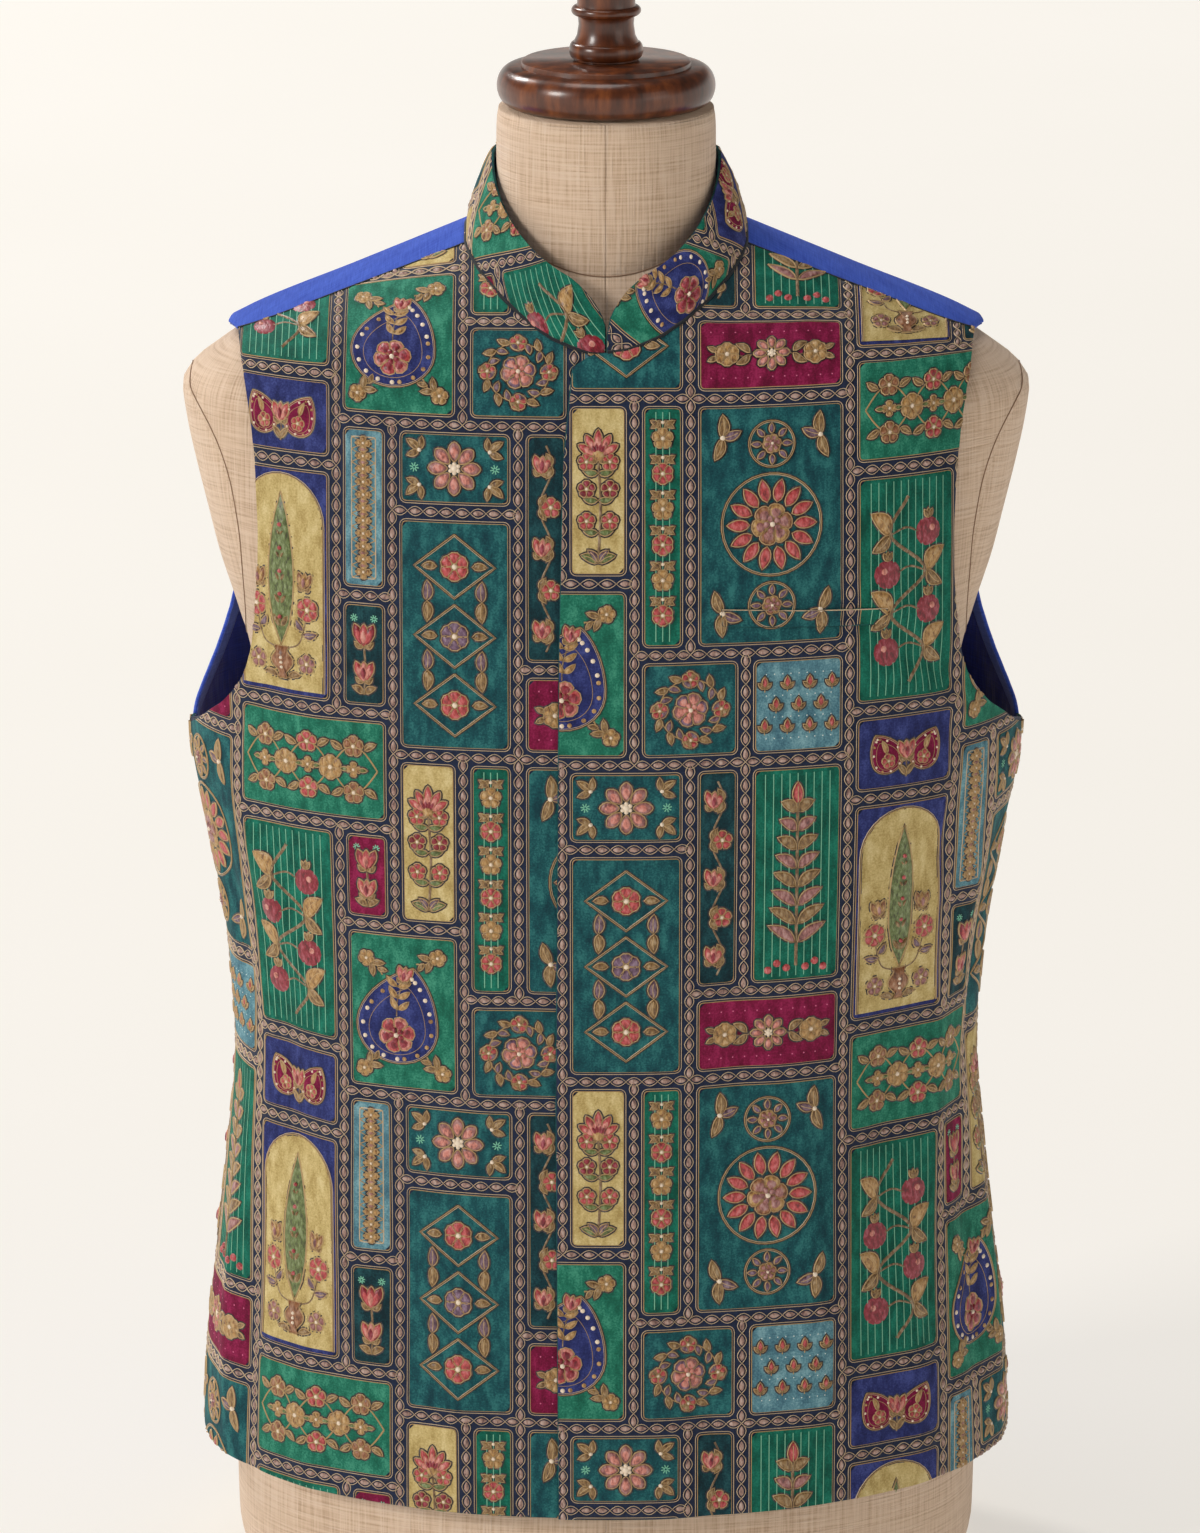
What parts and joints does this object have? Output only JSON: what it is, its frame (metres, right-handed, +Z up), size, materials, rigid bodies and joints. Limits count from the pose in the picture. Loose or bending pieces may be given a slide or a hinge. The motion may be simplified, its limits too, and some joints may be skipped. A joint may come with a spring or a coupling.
{
  "type": "sleeveless nehru jacket on limbless dress form",
  "caption": "Sleeveless mandarin-collar jacket with panelled print fronts and a plain back, worn on a limbless linen dress form with a turned wooden neck cap and finial.",
  "frame": {"origin": "centre of the bounding box at the form's flat base", "axes": "+Z up, -Y out of the jacket's front, +X towards the wearer's left"},
  "size_m": [0.433, 0.2882, 0.8866],
  "materials": {
    "printed_cloth": "matte printed and corded cloth",
    "blue_cloth": "plain weave with a soft sheen",
    "linen": "matte linen",
    "wood": "dark gloss varnish"
  },
  "bodies": {
    "root": {"front_left": "printed_cloth", "front_right": "printed_cloth", "collar": "printed_cloth", "pocket_welt": "printed_cloth", "back": "blue_cloth", "form_torso": "linen", "form_neck": "linen", "arm_plate_left": "linen", "arm_plate_right": "linen", "neck_cap": "wood", "finial": "wood"}
  },
  "joints": []
}
